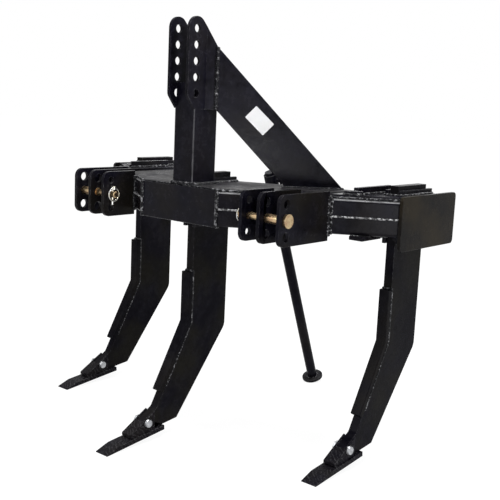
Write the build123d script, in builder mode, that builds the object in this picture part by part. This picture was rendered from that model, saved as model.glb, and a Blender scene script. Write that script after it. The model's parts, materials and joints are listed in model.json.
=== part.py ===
# Three-shank V-frame subsoiler for a tractor's three-point hitch, with parking stand.
# Millimetres, +Z up. X is across, +Y points to the rear, and the points face -Y.
# The floor is Z = 0. Heights of frame parts are measured from the lower hitch pins.

import os
from math import cos, radians, sin, tan

from build123d import *

os.makedirs("parts", exist_ok=True)

# Lower hitch pins: height above the floor and place along Y. Other places are given ahead of or behind them.
pin_z = 772.0
pin_y = -287.6
left_and_right = (("left", -1), ("right", 1))

# V-frame
arm_sweep = 33.0
arm_depth = 70.0
arm_height = 112.0
arm_wall = 8.0
arm_corner = 12.0
apex_half = 169.5
apex_behind = 19.0
front_plate_thick = 12.0
front_plate_height = 116.0
wing_plate_width = 193.0
end_plate_thick = 12.0
end_plate_front_behind = 311.0
end_plate_rear_behind = 643.0
end_plate_above = 73.0
end_plate_below = 96.0
end_plate_corner = 14.0

# Plates over and under the frame
top_plate_thick = 8.0
top_plate_half = 410.0
top_plate_setback = 8.0
top_plate_mid_behind = 275.0
top_plate_end_behind = 425.0
wing_plate_thick = 12.0
wing_plate_gap = 45.0
wing_plate_rear_behind = 572.0
wing_plate_chamfer = 107.0
wing_floor_thick = 12.0
wing_floor_front_behind = 240.0
wing_floor_step_behind = 345.0
bottom_plate_thick = 10.0
bottom_plate_half = 250.0
wing_inner_plate_x = 508.0
wing_inner_plate_thick = 12.0
rib_thick = 12.0
rib_height = 12.0
rib_inner = 491.0
rib_outer = 533.0
rib_depth = 25.0
fin_height = 22.0
fin_rear_behind = 465.0

# Shanks: centre shank at X = 0, side shanks set out and back
shank_thick = 30.0
shank_width = 168.0
shank_front_behind = 83.5
shank_above = 97.0
shank_bend_below = 402.0
shank_rake = 29.0
shank_back_bend_below = 440.0
shank_back_fillet = 40.0
shank_toe_fillet = 22.0
shank_heel_back = 28.0
side_shank_x = 584.0
side_shank_back = 298.5
shank_places = (
    ("center", 0.0, 0.0),
    ("left", -side_shank_x, side_shank_back),
    ("right", side_shank_x, side_shank_back),
)

# Shank pockets
pocket_plate = 12.0
pocket_lap = 20.0
pocket_ahead = 10.0
center_pocket_below = 79.0
side_pocket_below = 85.0
collar_height = 16.0
shank_bolt_d = 20.0
shank_bolt_hole = 20.6
shank_bolt_head = 32.0
shank_bolt_head_thick = 13.0
shank_bolt_tail = 5.0
shank_bolt_inset = 40.0

# Shins
shin_thick = 20.0
shin_width = 36.0
shin_top_below = 230.0
shin_end_below = 613.0

# Points
point_pitch = 6.0
bar_width = 54.0
bar_thick = 15.0
bar_tip_ahead = 283.0
bar_rear_ahead = 38.0
bar_bevel = 48.0
bar_edge = 3.0
boot_width = 44.0
boot_rear_ahead = 80.0
boot_nose_ahead = 181.0
boot_top_rear_below = 675.0
boot_top_nose_below = 732.0
boot_nose_depth = 9.0
boot_nose_undercut = 9.0
toe_end_ahead = 126.0
toe_drop = 3.0
toe_clear = 0.3
point_bolt_ahead = 109.0
point_bolt_below = 709.0
point_bolt_d = 20.0
point_bolt_hole = 20.6
point_bolt_head = 30.0
point_bolt_head_thick = 8.0
point_bolt_head_taper = 18.0
point_nut_across = 30.0
point_nut_thick = 8.0

# Mast
post_width = 92.0
post_depth = 110.5
post_wall = 8.0
post_corner = 10.0
post_front_behind = 33.0
post_top = 385.0
notch_clear = 1.0
link_plate_thick = 10.0
link_hole_d = 26.0
link_hole_count = 5
link_hole_pitch = 50.0
link_hole_top = 553.0
link_hole_behind = 37.0
link_plate_radius = 37.0
link_plate_ahead = 10.0
link_bend_behind = 80.0
link_wing_length = 36.0
link_plate_neck = 562.0
link_plate_shoulder = 501.0
link_plate_bottom = 304.0
link_plate_knee = 346.0
link_plate_knee_fillet = 26.0
link_crown_start = 45.0
brace_angle = 45.0
brace_run = 427.0

# Lower hitch plates and pins
hitch_plate_thick = 12.0
hitch_plate_half = 77.0
hitch_plate_ahead = 34.0
hitch_plate_corner = 27.0
hitch_inner_x = 307.0
hitch_gap = 57.0
outer_hitch_gap = 63.0
hitch_hole_pitch = 48.0
hitch_hole_ds = (("inner", 23.0), ("middle", 29.0), ("outer", 29.0))
pin_large_d = 28.0
pin_small_d = 22.0
pin_head_d = 42.0
pin_head_thick = 9.0
pin_tail = 26.0
pin_chamfer = 2.0
linch_d = 10.0
linch_hole_d = 11.0
linch_ring_d = 44.0
linch_wire = 5.0
linch_length = 52.0
linch_head_d = 14.0
linch_head_length = 12.0
linch_clear = 1.0

# Rear tube and parking stand
tube_size = 75.0
tube_wall = 6.0
tube_corner = 10.0
tube_drop = 10.0
stand_tilt = 21.9
stand_behind = 516.0
leg_d = 38.0
leg_clear = 0.6
sleeve_wall = 5.0
sleeve_above = 78.0
sleeve_below = 62.0
leg_above_sleeve = 10.0
foot_d = 82.0
foot_thick = 8.0
leg_wall = 5.0
screw_d = 12.0
screw_reach = 24.0
screw_below_top = 22.0
screw_bar_d = 8.0
screw_bar_length = 60.0

# Worked-out places
apex_y = pin_y + apex_behind
end_plate_front = pin_y + end_plate_front_behind
end_plate_rear = pin_y + end_plate_rear_behind
wing_plate_inner = top_plate_half + wing_plate_gap
wing_x = wing_plate_inner + wing_plate_width
wing_plate_rear = pin_y + wing_plate_rear_behind
shank_front = pin_y + shank_front_behind
post_front = pin_y + post_front_behind
link_hole_y = pin_y + link_hole_behind
link_plate_bend = pin_y + link_bend_behind
sweep_tan = tan(radians(arm_sweep))
arm_depth_y = arm_depth / cos(radians(arm_sweep))
frame_top = pin_z + arm_height / 2
frame_bottom = pin_z - arm_height / 2
plate_top = frame_top + top_plate_thick
wing_top = frame_top + wing_plate_thick
shank_rear = shank_front + shank_width
pocket_half = shank_thick / 2 + pocket_plate
pocket_front = shank_front - pocket_ahead
pocket_rear = shank_rear + pocket_lap
pitch_tan = tan(radians(point_pitch))
bar_lean = bar_thick * sin(radians(point_pitch))
rake_tan = tan(radians(shank_rake))
boot_slope = (boot_top_nose_below - boot_top_rear_below) / (boot_nose_ahead - boot_rear_ahead)
stand_dir = Vector(0, -sin(radians(stand_tilt)), cos(radians(stand_tilt)))
tube_y = pin_y + stand_behind + tube_drop * tan(radians(stand_tilt))


def arm_face_y(x):
    return apex_y + (x - apex_half) * sweep_tan


# Upright plane parallel to an arm's front face, at a depth behind it, facing rearwards
def arm_plane(s, depth):
    rearwards = Vector(-s * sin(radians(arm_sweep)), cos(radians(arm_sweep)), 0)
    return Plane(origin=Vector(s * apex_half, apex_y, pin_z) + rearwards * depth, z_dir=rearwards)


def bar_under_z(ahead):
    return (bar_tip_ahead - ahead) * pitch_tan


def bar_over_z(ahead):
    return bar_under_z(ahead) + bar_thick / cos(radians(point_pitch))


def boot_top_z(ahead):
    return pin_z - boot_top_rear_below - (ahead - boot_rear_ahead) * boot_slope


# Point of the stand's axis at a height above the floor
def stand_point(z):
    return Vector(0, pin_y + stand_behind - (z - pin_z) * tan(radians(stand_tilt)), z)


def save(piece, name):
    piece.label = name
    export_step(piece, f"parts/{name}.step")


# Front plate, which closes the V at the front
with BuildPart() as front_plate:
    with BuildSketch(Plane.XZ.offset(-apex_y)):
        with Locations((0, pin_z)):
            Rectangle(2 * apex_half, front_plate_height)
    extrude(amount=-front_plate_thick)
save(front_plate.part, "front_plate")

# Arms: each is a box of two formed channels that meet toe to toe at mid height
for side, s in left_and_right:
    along = Vector(s * cos(radians(arm_sweep)), sin(radians(arm_sweep)), 0)
    inwards = Vector(-s * sin(radians(arm_sweep)), cos(radians(arm_sweep)), 0)
    section = Plane(origin=(s * apex_half, apex_y, pin_z), x_dir=inwards, z_dir=along)
    for level, up in (("upper", 1), ("lower", -1)):
        with BuildPart() as arm:
            with BuildSketch(section):
                with Locations((arm_depth / 2, 0)):
                    RectangleRounded(arm_depth, arm_height, arm_corner)
                    hollow_depth = arm_depth - 2 * arm_wall
                    hollow_height = arm_height - 2 * arm_wall
                    RectangleRounded(hollow_depth, hollow_height, arm_corner - arm_wall, mode=Mode.SUBTRACT)
                with Locations((arm_depth / 2, -up * s * arm_height / 2)):
                    Rectangle(2 * arm_depth, arm_height, mode=Mode.SUBTRACT)
            extrude(amount=wing_x, both=True)
            # Ends at the wing, behind the front plate and beside the centre shank's pocket
            with BuildSketch(Plane.XY.offset(frame_bottom - 10)):
                with BuildLine():
                    Polyline(
                        (s * wing_x, apex_y),
                        (s * wing_x, end_plate_rear),
                        (s * pocket_half, end_plate_rear),
                        (s * pocket_half, apex_y + front_plate_thick),
                        (s * apex_half, apex_y + front_plate_thick),
                        (s * apex_half, apex_y),
                        close=True,
                    )
                make_face()
            extrude(amount=arm_height + 20, mode=Mode.INTERSECT)
        save(arm.part, f"arm_{level}_{side}")

# Top plate over the front of the V, with the centre shank's slot
top_edge_y = top_plate_setback / cos(radians(arm_sweep))
top_knee_x = apex_half + (front_plate_thick - top_edge_y) / sweep_tan
with BuildPart() as top_plate:
    with BuildSketch(Plane.XY.offset(frame_top)):
        with BuildLine():
            Polyline(
                (0, apex_y + front_plate_thick),
                (top_knee_x, apex_y + front_plate_thick),
                (top_plate_half, arm_face_y(top_plate_half) + top_edge_y),
                (top_plate_half, pin_y + top_plate_end_behind),
                (0, pin_y + top_plate_mid_behind),
            )
            mirror(about=Plane.YZ)
        make_face()
        with Locations((0, (shank_front + shank_rear) / 2)):
            Rectangle(shank_thick + 2 * toe_clear, shank_width + 2 * toe_clear, mode=Mode.SUBTRACT)
    extrude(amount=top_plate_thick)
save(top_plate.part, "top_plate")

# Bottom plate, set up between the arms and the centre pocket, flush with the arms below
with BuildPart() as bottom_plate:
    for side, s in left_and_right:
        with BuildSketch(Plane.XY.offset(frame_bottom)):
            with BuildLine():
                Polyline(
                    (s * pocket_half, apex_y + front_plate_thick),
                    (s * bottom_plate_half, apex_y + front_plate_thick),
                    (s * bottom_plate_half, pocket_rear),
                    (s * pocket_half, pocket_rear),
                    close=True,
                )
            make_face()
        extrude(amount=bottom_plate_thick)
    for side, s in left_and_right:
        with BuildSketch(arm_plane(s, arm_depth)):
            Rectangle(8 * wing_x, 8 * arm_height)
        extrude(amount=-4 * arm_depth, mode=Mode.SUBTRACT)
save(bottom_plate.part, "bottom_plate")

# Wing plates over the arm ends, slotted for the side shanks
with BuildPart() as wing_top_plates:
    for side, s in left_and_right:
        with BuildSketch(Plane.XY.offset(frame_top)):
            with BuildLine():
                Polyline(
                    (s * wing_plate_inner, arm_face_y(wing_plate_inner) + top_edge_y),
                    (s * wing_x, arm_face_y(wing_x) + top_edge_y),
                    (s * wing_x, wing_plate_rear),
                    (s * wing_inner_plate_x, wing_plate_rear),
                    (s * wing_plate_inner, wing_plate_rear - wing_plate_chamfer),
                    close=True,
                )
            make_face()
            with Locations((s * side_shank_x, (shank_front + shank_rear) / 2 + side_shank_back)):
                Rectangle(shank_thick + 2 * toe_clear, shank_width + 2 * toe_clear, mode=Mode.SUBTRACT)
        extrude(amount=wing_plate_thick)
save(wing_top_plates.part, "wing_top_plates")

# Plates under the arm ends, round the side pockets
floor_inner = wing_inner_plate_x + wing_inner_plate_thick
floor_step_x = side_shank_x - shank_thick / 2
with BuildPart() as wing_bottom_plates:
    for side, s in left_and_right:
        with BuildSketch(Plane.XY.offset(frame_bottom - wing_floor_thick)):
            with BuildLine():
                Polyline(
                    (s * floor_inner, pin_y + wing_floor_front_behind),
                    (s * floor_step_x, pin_y + wing_floor_front_behind),
                    (s * floor_step_x, pin_y + wing_floor_step_behind),
                    (s * wing_x, pin_y + wing_floor_step_behind),
                    (s * wing_x, wing_plate_rear),
                    (s * floor_inner, wing_plate_rear),
                    close=True,
                )
            make_face()
            slot_front = pin_y + wing_floor_step_behind - toe_clear
            slot_rear = pocket_rear + side_shank_back + toe_clear
            with Locations((s * side_shank_x, (slot_front + slot_rear) / 2)):
                Rectangle(2 * pocket_half, slot_rear - slot_front, mode=Mode.SUBTRACT)
        extrude(amount=wing_floor_thick)
save(wing_bottom_plates.part, "wing_bottom_plates")

# Upright plates inboard of the side shanks
with BuildPart() as wing_inner_plates:
    for side, s in left_and_right:
        inner_plate_mid = wing_inner_plate_x + wing_inner_plate_thick / 2
        with BuildSketch(Plane.YZ.offset(s * inner_plate_mid - wing_inner_plate_thick / 2)):
            with Locations(((pin_y + wing_floor_front_behind + wing_plate_rear) / 2, pin_z)):
                Rectangle(wing_plate_rear - pin_y - wing_floor_front_behind, arm_height)
        extrude(amount=wing_inner_plate_thick)
    for side, s in left_and_right:
        with BuildSketch(arm_plane(s, arm_depth)):
            Rectangle(8 * wing_x, 8 * arm_height)
        extrude(amount=-4 * arm_depth, mode=Mode.SUBTRACT)
save(wing_inner_plates.part, "wing_inner_plates")

# End plates
for side, s in left_and_right:
    with BuildPart() as end_plate:
        with BuildSketch(Plane.YZ.offset(s * (wing_x + end_plate_thick / 2) - end_plate_thick / 2)):
            middle_y = (end_plate_front + end_plate_rear) / 2
            with Locations((middle_y, pin_z + (end_plate_above - end_plate_below) / 2)):
                RectangleRounded(
                    end_plate_rear - end_plate_front, end_plate_above + end_plate_below, end_plate_corner
                )
        extrude(amount=end_plate_thick)
    save(end_plate.part, f"end_plate_{side}")

# On the wing plates: a short rib along the arm, and a fin behind it over the upright plate
rib_rear_y = rib_depth / cos(radians(arm_sweep))
rib_front_y = (rib_depth - rib_thick) / cos(radians(arm_sweep))
fin_x = wing_inner_plate_x + wing_inner_plate_thick
with BuildPart() as ribs:
    for side, s in left_and_right:
        with BuildSketch(Plane.XY.offset(wing_top)):
            with BuildLine():
                Polyline(
                    (s * rib_inner, arm_face_y(rib_inner) + rib_front_y),
                    (s * rib_outer, arm_face_y(rib_outer) + rib_front_y),
                    (s * rib_outer, arm_face_y(rib_outer) + rib_rear_y),
                    (s * rib_inner, arm_face_y(rib_inner) + rib_rear_y),
                    close=True,
                )
            make_face()
        extrude(amount=rib_height)
        with BuildSketch(Plane.XY.offset(wing_top)):
            with BuildLine():
                Polyline(
                    (s * wing_inner_plate_x, arm_face_y(wing_inner_plate_x) + rib_rear_y),
                    (s * fin_x, arm_face_y(fin_x) + rib_rear_y),
                    (s * fin_x, pin_y + fin_rear_behind),
                    (s * wing_inner_plate_x, pin_y + fin_rear_behind),
                    close=True,
                )
            make_face()
        extrude(amount=fin_height)
save(ribs.part, "arm_ribs")

# Pockets: upright plates on both sides of each shank, and collars beside it on top
for place, x, back in shank_places:
    pocket_below = center_pocket_below if back == 0 else side_pocket_below
    collar_base = plate_top if back == 0 else wing_top
    collar_front = post_front + post_depth if back == 0 else pocket_front + back
    plate_length = pocket_rear - pocket_front
    collar_length = pocket_rear + back - collar_front
    with BuildPart() as pocket:
        for s in (-1, 1):
            plate_start = x + s * (shank_thick / 2 + pocket_plate / 2) - pocket_plate / 2
            with BuildSketch(Plane.YZ.offset(plate_start)):
                plate_mid_z = (frame_top + pin_z - pocket_below) / 2
                with Locations((pocket_front + back + plate_length / 2, plate_mid_z)):
                    Rectangle(plate_length, frame_top - pin_z + pocket_below)
                with Locations((collar_front + collar_length / 2, collar_base + collar_height / 2)):
                    Rectangle(collar_length, collar_height)
            extrude(amount=pocket_plate)
        if back > 0:
            with BuildSketch(arm_plane(1 if x > 0 else -1, arm_depth)):
                Rectangle(8 * wing_x, arm_height + 2 * pocket_below)
            extrude(amount=-4 * arm_depth, mode=Mode.SUBTRACT)
        bolt_ys = [shank_front + shank_bolt_inset + back, shank_rear - shank_bolt_inset + back]
        with BuildSketch(Plane.YZ.offset(x - pocket_half)):
            with Locations([(y, pin_z) for y in bolt_ys]):
                Circle(shank_bolt_hole / 2)
        extrude(amount=2 * pocket_half, mode=Mode.SUBTRACT)
    save(pocket.part, f"shank_pocket_{place}")

# Shanks: upright in the pocket, then raked forward and narrowed to the toe
for place, x, back in shank_places:
    datum = pin_y + back
    bend_z = pin_z - shank_bend_below
    front_y = shank_front + back
    toe_line_z = boot_top_z(boot_rear_ahead) - toe_drop
    # Where the raked front edge meets the top line of the toe
    knee_ahead = (datum - front_y - rake_tan * (toe_line_z + boot_slope * boot_rear_ahead - bend_z)) / (
        1 - rake_tan * boot_slope
    )
    knee_z = toe_line_z - (knee_ahead - boot_rear_ahead) * boot_slope
    toe_top_z = boot_top_z(toe_end_ahead) - toe_drop
    with BuildPart() as shank:
        with BuildSketch(Plane.YZ.offset(x - shank_thick / 2)):
            with BuildLine():
                Polyline(
                    (front_y, pin_z + shank_above),
                    (front_y, bend_z),
                    (datum - knee_ahead, knee_z),
                    (datum - toe_end_ahead, toe_top_z),
                    (datum - toe_end_ahead, bar_over_z(toe_end_ahead)),
                    (datum + shank_heel_back, bar_over_z(-shank_heel_back)),
                    (shank_rear + back, pin_z - shank_back_bend_below),
                    (shank_rear + back, pin_z + shank_above),
                    close=True,
                )
            make_face()
            corners = vertices()
            back_bend = (shank_rear + back, pin_z - shank_back_bend_below)
            fillet(corners.sort_by_distance(back_bend)[0], shank_back_fillet)
            fillet(vertices().sort_by_distance((datum - knee_ahead, knee_z))[0], shank_toe_fillet)
            bolt_ys = [shank_front + shank_bolt_inset + back, shank_rear - shank_bolt_inset + back]
            with Locations([(y, pin_z) for y in bolt_ys]):
                Circle(shank_bolt_hole / 2, mode=Mode.SUBTRACT)
            with Locations((datum - point_bolt_ahead, pin_z - point_bolt_below)):
                Circle(point_bolt_hole / 2, mode=Mode.SUBTRACT)
        extrude(amount=shank_thick)
    save(shank.part, f"shank_{place}")

# Shins: flat wear bars bent to the front edge of the shanks
shin_bend_rise = shin_thick * tan(radians(shank_rake / 2))
shin_back = Vector(cos(radians(shank_rake)), -sin(radians(shank_rake))) * shin_thick
for place, x, back in shank_places:
    front_y = shank_front + back
    outer_y = front_y - shin_thick
    outer_bend_z = pin_z - shank_bend_below + shin_bend_rise
    outer_end = Vector(outer_y - (outer_bend_z - pin_z + shin_end_below) * rake_tan, pin_z - shin_end_below)
    inner_end = outer_end + shin_back
    with BuildPart() as shin:
        with BuildSketch(Plane.YZ.offset(x - shin_width / 2)):
            with BuildLine():
                Polyline(
                    (outer_y, pin_z - shin_top_below),
                    (outer_y, outer_bend_z),
                    (outer_end.X, outer_end.Y),
                    (inner_end.X, inner_end.Y),
                    (front_y, pin_z - shank_bend_below),
                    (front_y, pin_z - shin_top_below),
                    close=True,
                )
            make_face()
        extrude(amount=shin_width)
    save(shin.part, f"shin_{place}")

# Points: a chisel bar under the toe, with a boot on it that takes the toe in its slot
for place, x, back in shank_places:
    datum = pin_y + back
    with BuildPart() as point:
        with BuildSketch(Plane.YZ.offset(x - bar_width / 2)):
            with BuildLine():
                Polyline(
                    (datum - bar_tip_ahead, 0),
                    (datum - bar_tip_ahead, bar_edge),
                    (datum - bar_tip_ahead + bar_bevel, bar_over_z(bar_tip_ahead - bar_bevel)),
                    (datum - bar_rear_ahead - bar_lean, bar_over_z(bar_rear_ahead)),
                    (datum - bar_rear_ahead, bar_under_z(bar_rear_ahead)),
                    close=True,
                )
            make_face()
        extrude(amount=bar_width)
        nose_foot = boot_nose_ahead - boot_nose_undercut
        with BuildSketch(Plane.YZ.offset(x - boot_width / 2)):
            with BuildLine():
                Polyline(
                    (datum - boot_rear_ahead, boot_top_z(boot_rear_ahead)),
                    (datum - boot_nose_ahead, boot_top_z(boot_nose_ahead)),
                    (datum - boot_nose_ahead, boot_top_z(boot_nose_ahead) - boot_nose_depth),
                    (datum - nose_foot, bar_over_z(nose_foot)),
                    (datum - boot_rear_ahead, bar_over_z(boot_rear_ahead)),
                    close=True,
                )
            make_face()
        extrude(amount=boot_width)
        # Slot for the toe, down to the bar, and the bolt hole
        slot_end = toe_end_ahead + toe_clear
        with BuildSketch(Plane.YZ.offset(x - shank_thick / 2 - toe_clear)):
            with BuildLine():
                Polyline(
                    (datum - slot_end, bar_over_z(slot_end)),
                    (datum - slot_end, boot_top_z(boot_rear_ahead) + toe_clear),
                    (datum, boot_top_z(boot_rear_ahead) + toe_clear),
                    (datum, bar_over_z(0)),
                    close=True,
                )
            make_face()
        extrude(amount=shank_thick + 2 * toe_clear, mode=Mode.SUBTRACT)
        with BuildSketch(Plane.YZ.offset(x - boot_width / 2)):
            with Locations((datum - point_bolt_ahead, pin_z - point_bolt_below)):
                Circle(point_bolt_hole / 2)
        extrude(amount=boot_width, mode=Mode.SUBTRACT)
    save(point.part, f"point_{place}")

# Point bolts: round head on the right, nut on the left
with BuildPart() as point_bolts:
    for place, x, back in shank_places:
        bolt_at = (pin_y + back - point_bolt_ahead, pin_z - point_bolt_below)
        with BuildSketch(Plane.YZ.offset(x - boot_width / 2 - point_nut_thick)):
            with Locations(bolt_at):
                Circle(point_bolt_d / 2)
        extrude(amount=boot_width + point_nut_thick + toe_clear)
        with BuildSketch(Plane.YZ.offset(x + boot_width / 2)):
            with Locations(bolt_at):
                Circle(point_bolt_head / 2)
        extrude(amount=point_bolt_head_thick, taper=point_bolt_head_taper)
        with BuildSketch(Plane.YZ.offset(x - boot_width / 2)):
            with Locations(bolt_at):
                RegularPolygon(point_nut_across / 2, 6, major_radius=False)
        extrude(amount=-point_nut_thick)
save(point_bolts.part, "point_bolts")

# Shank bolts: two through each pocket, hexagon head on the right and nut on the left
with BuildPart() as shank_bolts:
    bolt_start = pocket_half + shank_bolt_head_thick + shank_bolt_tail
    for place, x, back in shank_places:
        bolt_ys = [shank_front + shank_bolt_inset + back, shank_rear - shank_bolt_inset + back]
        for start, length, across in (
            (-bolt_start, bolt_start + pocket_half + toe_clear, None),
            (pocket_half, shank_bolt_head_thick, shank_bolt_head),
            (-pocket_half - shank_bolt_head_thick, shank_bolt_head_thick, shank_bolt_head),
        ):
            with BuildSketch(Plane.YZ.offset(x + start)):
                with Locations([(y, pin_z) for y in bolt_ys]):
                    if across is None:
                        Circle(shank_bolt_d / 2)
                    else:
                        RegularPolygon(across / 2, 6, major_radius=False)
            extrude(amount=length)
save(shank_bolts.part, "shank_bolts")

# Mast post: rectangular tube on the top plate, notched over the centre shank. Its side walls stop under
# the top link plates, and its front and rear walls go on up between them.
link_inner_x = post_width / 2 - link_plate_thick
with BuildPart() as mast_post:
    with BuildSketch(Plane.XY.offset(plate_top)):
        with Locations((0, post_front + post_depth / 2)):
            RectangleRounded(post_width, post_depth, post_corner)
            hollow_width = post_width - 2 * post_wall
            hollow_depth = post_depth - 2 * post_wall
            RectangleRounded(hollow_width, hollow_depth, post_corner - post_wall, mode=Mode.SUBTRACT)
    extrude(amount=pin_z + post_top - plate_top)
    with BuildSketch(Plane.XY.offset(pin_z + link_plate_bottom)):
        with Locations((0, post_front + post_depth / 2)):
            Rectangle(2 * post_width, 2 * post_depth)
            Rectangle(2 * link_inner_x, 2 * post_depth, mode=Mode.SUBTRACT)
    extrude(amount=post_top, mode=Mode.SUBTRACT)
    with BuildSketch(Plane.XY.offset(plate_top)):
        with Locations((0, post_front + post_depth)):
            Rectangle(shank_thick + 2 * notch_clear, 4 * post_wall)
    extrude(amount=pin_z + shank_above + 2 * notch_clear - plate_top, mode=Mode.SUBTRACT)
save(mast_post.part, "mast_post")

# Top link plates, flush with the post's sides: straight at the holes, bent out behind to meet the braces
wing_end_x = post_width / 2 + link_wing_length * cos(radians(brace_angle))
wing_end_y = link_plate_bend + link_wing_length * sin(radians(brace_angle))
for side, s in left_and_right:
    with BuildPart() as link_plate:
        with BuildSketch(Plane.XY.offset(pin_z + link_plate_bottom)):
            with BuildLine():
                bend_gain = link_plate_thick * tan(radians(brace_angle / 2))
                skew_x = link_plate_thick * sin(radians(brace_angle))
                skew_y = link_plate_thick * cos(radians(brace_angle))
                outer_x = post_width / 2
                Polyline(
                    (s * outer_x, pin_y - link_plate_ahead),
                    (s * outer_x, link_plate_bend),
                    (s * wing_end_x, wing_end_y),
                    (s * (wing_end_x - skew_x), wing_end_y + skew_y),
                    (s * link_inner_x, link_plate_bend + bend_gain),
                    (s * link_inner_x, pin_y - link_plate_ahead),
                    close=True,
                )
            make_face()
        extrude(amount=link_hole_top + link_plate_radius - link_plate_bottom)
        # Side outline: round top, sloped back, rounded chamfer at the foot
        crown_z = pin_z + link_hole_top
        front_y = link_hole_y - link_plate_radius
        with BuildSketch(Plane.YZ.offset(-2 * wing_end_x)):
            with BuildLine() as outline:
                crown_arc = 180 - link_crown_start
                crown = CenterArc((link_hole_y, crown_z), link_plate_radius, link_crown_start, crown_arc)
                Polyline(
                    crown @ 1,
                    (front_y, pin_z + link_plate_knee),
                    (post_front, pin_z + link_plate_bottom),
                    (wing_end_y + skew_y, pin_z + link_plate_bottom),
                    (wing_end_y + skew_y, pin_z + link_plate_shoulder),
                    (wing_end_y, pin_z + link_plate_shoulder),
                    (link_plate_bend, pin_z + link_plate_neck),
                    crown @ 0,
                )
            make_face()
            knee = (front_y, pin_z + link_plate_knee)
            fillet(vertices().sort_by_distance(knee)[0], link_plate_knee_fillet)
        extrude(amount=4 * wing_end_x, mode=Mode.INTERSECT)
        with BuildSketch(Plane.YZ.offset(-2 * wing_end_x)):
            with Locations([(link_hole_y, crown_z - i * link_hole_pitch) for i in range(link_hole_count)]):
                Circle(link_hole_d / 2)
        extrude(amount=4 * wing_end_x, mode=Mode.SUBTRACT)
    save(link_plate.part, f"top_link_plate_{side}")

# Braces: flat bars from the top link plates down to the top plate
brace_top = pin_z + link_plate_shoulder
brace_drop = link_plate_shoulder - link_plate_bottom
brace_slope = (brace_top - plate_top) / brace_run
for side, s in left_and_right:
    run_dir = Vector(s * cos(radians(brace_angle)), sin(radians(brace_angle)), 0)
    outward = Vector(s * sin(radians(brace_angle)), -cos(radians(brace_angle)), 0)
    with BuildPart() as brace:
        with BuildSketch(Plane(origin=(s * wing_end_x, wing_end_y, 0), x_dir=run_dir, z_dir=outward)):
            up = 1 if s > 0 else -1
            with BuildLine():
                Polyline(
                    (0, up * brace_top),
                    (brace_run, up * plate_top),
                    (brace_run - brace_drop / brace_slope, up * plate_top),
                    (0, up * (brace_top - brace_drop)),
                    close=True,
                )
            make_face()
        extrude(amount=-link_plate_thick)
    save(brace.part, f"brace_{side}")

# Lower hitch plates: three on each arm, with three holes in each
middle_hitch_x = hitch_inner_x + hitch_plate_thick + hitch_gap
outer_hitch_x = middle_hitch_x + hitch_plate_thick + outer_hitch_gap
hitch_xs = (hitch_inner_x, middle_hitch_x, outer_hitch_x)
for (where, hole_d), near_x in zip(hitch_hole_ds, hitch_xs):
    front_y = pin_y - hitch_plate_ahead
    far_y = arm_face_y(near_x + hitch_plate_thick) + hitch_plate_thick
    for side, s in left_and_right:
        with BuildPart() as hitch_plate:
            with BuildSketch(Plane.YZ.offset(s * (near_x + hitch_plate_thick / 2) - hitch_plate_thick / 2)):
                with Locations(((front_y + far_y) / 2, pin_z)):
                    Rectangle(far_y - front_y, 2 * hitch_plate_half)
                fillet(vertices().group_by(Axis.X)[0], hitch_plate_corner)
                with Locations([(pin_y, pin_z + i * hitch_hole_pitch) for i in (-1, 0, 1)]):
                    Circle(hole_d / 2, mode=Mode.SUBTRACT)
            extrude(amount=hitch_plate_thick)
            split(bisect_by=arm_plane(s, 0), keep=Keep.BOTTOM)
        save(hitch_plate.part, f"hitch_plate_{where}_{side}")

# Stepped hitch pins, with a hole in the tail for the linch pin
step_x = hitch_xs[1]
head_x = hitch_xs[2] + hitch_plate_thick
tail_x = hitch_xs[0] - pin_tail
linch_x = hitch_xs[0] - linch_head_d / 2 - linch_clear
for side, s in left_and_right:
    with BuildPart() as hitch_pin:
        for start_x, end_x, diameter in (
            (tail_x, step_x, pin_small_d),
            (step_x, head_x, pin_large_d),
            (head_x, head_x + pin_head_thick, pin_head_d),
        ):
            with BuildSketch(Plane.YZ.offset(s * start_x)):
                with Locations((pin_y, pin_z)):
                    Circle(diameter / 2)
            extrude(amount=s * (end_x - start_x))
        with BuildSketch(Plane.XY.offset(pin_z - pin_small_d)):
            with Locations((s * linch_x, pin_y)):
                Circle(linch_hole_d / 2)
        extrude(amount=2 * pin_small_d, mode=Mode.SUBTRACT)
        chamfer(hitch_pin.faces().sort_by(Axis.X)[0 if s > 0 else -1].edges(), pin_chamfer)
    save(hitch_pin.part, f"hitch_pin_{side}")

# Linch pins: an upright pin through each tail, its head, and the ring that snaps round
ring_x = linch_x - linch_d / 2 - linch_wire / 2
linch_head_z = pin_z + linch_ring_d / 2 - linch_head_length / 2
with BuildPart() as linch_pins:
    for side, s in left_and_right:
        with BuildSketch(Plane.XY.offset(linch_head_z - linch_length)):
            with Locations((s * linch_x, pin_y)):
                Circle(linch_d / 2)
        extrude(amount=linch_length)
        with BuildSketch(Plane.XY.offset(linch_head_z)):
            with Locations((s * (linch_x + ring_x) / 2, pin_y)):
                SlotCenterToCenter(linch_x - ring_x, linch_head_d)
        extrude(amount=linch_head_length)
        with BuildSketch(Plane.XY.offset(pin_z)):
            with Locations((s * ring_x, pin_y + linch_ring_d / 2)):
                Circle(linch_wire / 2)
        revolve(axis=Axis((s * ring_x, pin_y, pin_z), (1, 0, 0)))
save(linch_pins.part, "linch_pins")

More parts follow.
